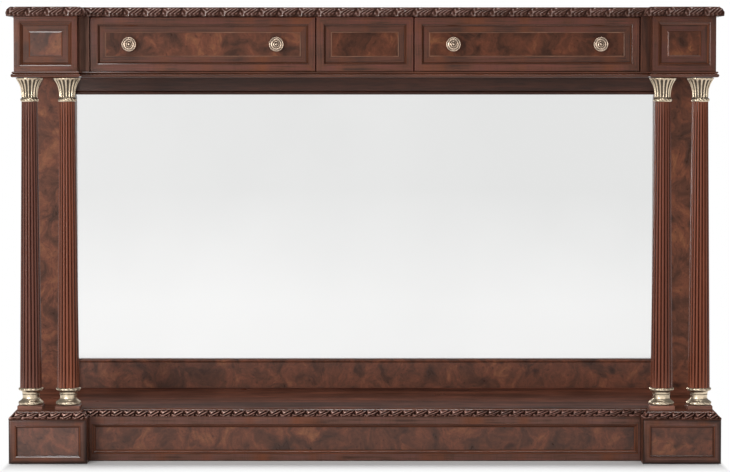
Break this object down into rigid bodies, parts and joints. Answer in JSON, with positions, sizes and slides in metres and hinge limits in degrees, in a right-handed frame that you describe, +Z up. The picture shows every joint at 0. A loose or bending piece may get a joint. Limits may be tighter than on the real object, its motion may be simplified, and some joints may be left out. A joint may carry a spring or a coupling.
{
  "type": "pier table",
  "caption": "Break-front pier table with frieze drawers, paired reeded columns on a low shelf, carved edges and a bevelled mirror back.",
  "frame": {"origin": "on the floor, below the middle of the top's width and depth", "axes": "+X along the width to the viewer's right, -Y out of the front, +Z up"},
  "size_m": [1.5, 0.48, 0.96],
  "materials": {
    "mahogany": "polished",
    "burl_veneer": "polished",
    "carcase_wood": "matt",
    "antique_brass": "satin",
    "knob_brass": "satin",
    "mirror_glass": "polished"
  },
  "bodies": {
    "table": {"back_bottom_rail": "burl_veneer", "back_top_rail": "mahogany", "base_back_rail": "carcase_wood", "base_centre": "burl_veneer", "base_centre_moulding": "mahogany", "base_moulding": "mahogany", "centre_front": "burl_veneer", "centre_front_moulding": "mahogany", "column_plinths": "mahogany", "frieze_bead": "mahogany", "left_back_stile": "burl_veneer", "left_base_block": "burl_veneer", "left_base_block_moulding": "mahogany", "left_base_end": "mahogany", "left_divider": "carcase_wood", "left_drawer_guide": "mahogany", "left_frieze_block": "burl_veneer", "left_frieze_block_moulding": "mahogany", "left_frieze_end": "mahogany", "left_inner_column_base": "antique_brass", "left_inner_column_capital": "antique_brass", "left_inner_column_shaft": "mahogany", "left_outer_column_base": "antique_brass", "left_outer_column_capital": "antique_brass", "left_outer_column_shaft": "mahogany", "mirror_backing": "carcase_wood", "mirror_plate": "mirror_glass", "right_back_stile": "burl_veneer", "right_base_block": "burl_veneer", "right_base_block_moulding": "mahogany", "right_base_end": "mahogany", "right_divider": "carcase_wood", "right_drawer_guide": "mahogany", "right_frieze_block": "burl_veneer", "right_frieze_block_moulding": "mahogany", "right_frieze_end": "mahogany", "right_inner_column_base": "antique_brass", "right_inner_column_capital": "antique_brass", "right_inner_column_shaft": "mahogany", "right_outer_column_base": "antique_brass", "right_outer_column_capital": "antique_brass", "right_outer_column_shaft": "mahogany", "shelf": "mahogany", "soffit_board": "mahogany", "top_board": "mahogany"},
    "left_drawer": {"left_drawer_back": "carcase_wood", "left_drawer_bottom": "carcase_wood", "left_drawer_front": "burl_veneer", "left_drawer_front_moulding": "mahogany", "left_drawer_knobs": "knob_brass", "left_drawer_left_side": "carcase_wood", "left_drawer_right_side": "carcase_wood"},
    "right_drawer": {"right_drawer_back": "carcase_wood", "right_drawer_bottom": "carcase_wood", "right_drawer_front": "burl_veneer", "right_drawer_front_moulding": "mahogany", "right_drawer_knobs": "knob_brass", "right_drawer_left_side": "carcase_wood", "right_drawer_right_side": "carcase_wood"}
  },
  "joints": [
    {"name": "left_drawer_slide", "type": "slide", "parent": "table", "child": "left_drawer", "axis": [0, -1, 0], "range_m": [0, 0.26]},
    {"name": "right_drawer_slide", "type": "slide", "parent": "table", "child": "right_drawer", "axis": [0, -1, 0], "range_m": [0, 0.26]}
  ]
}
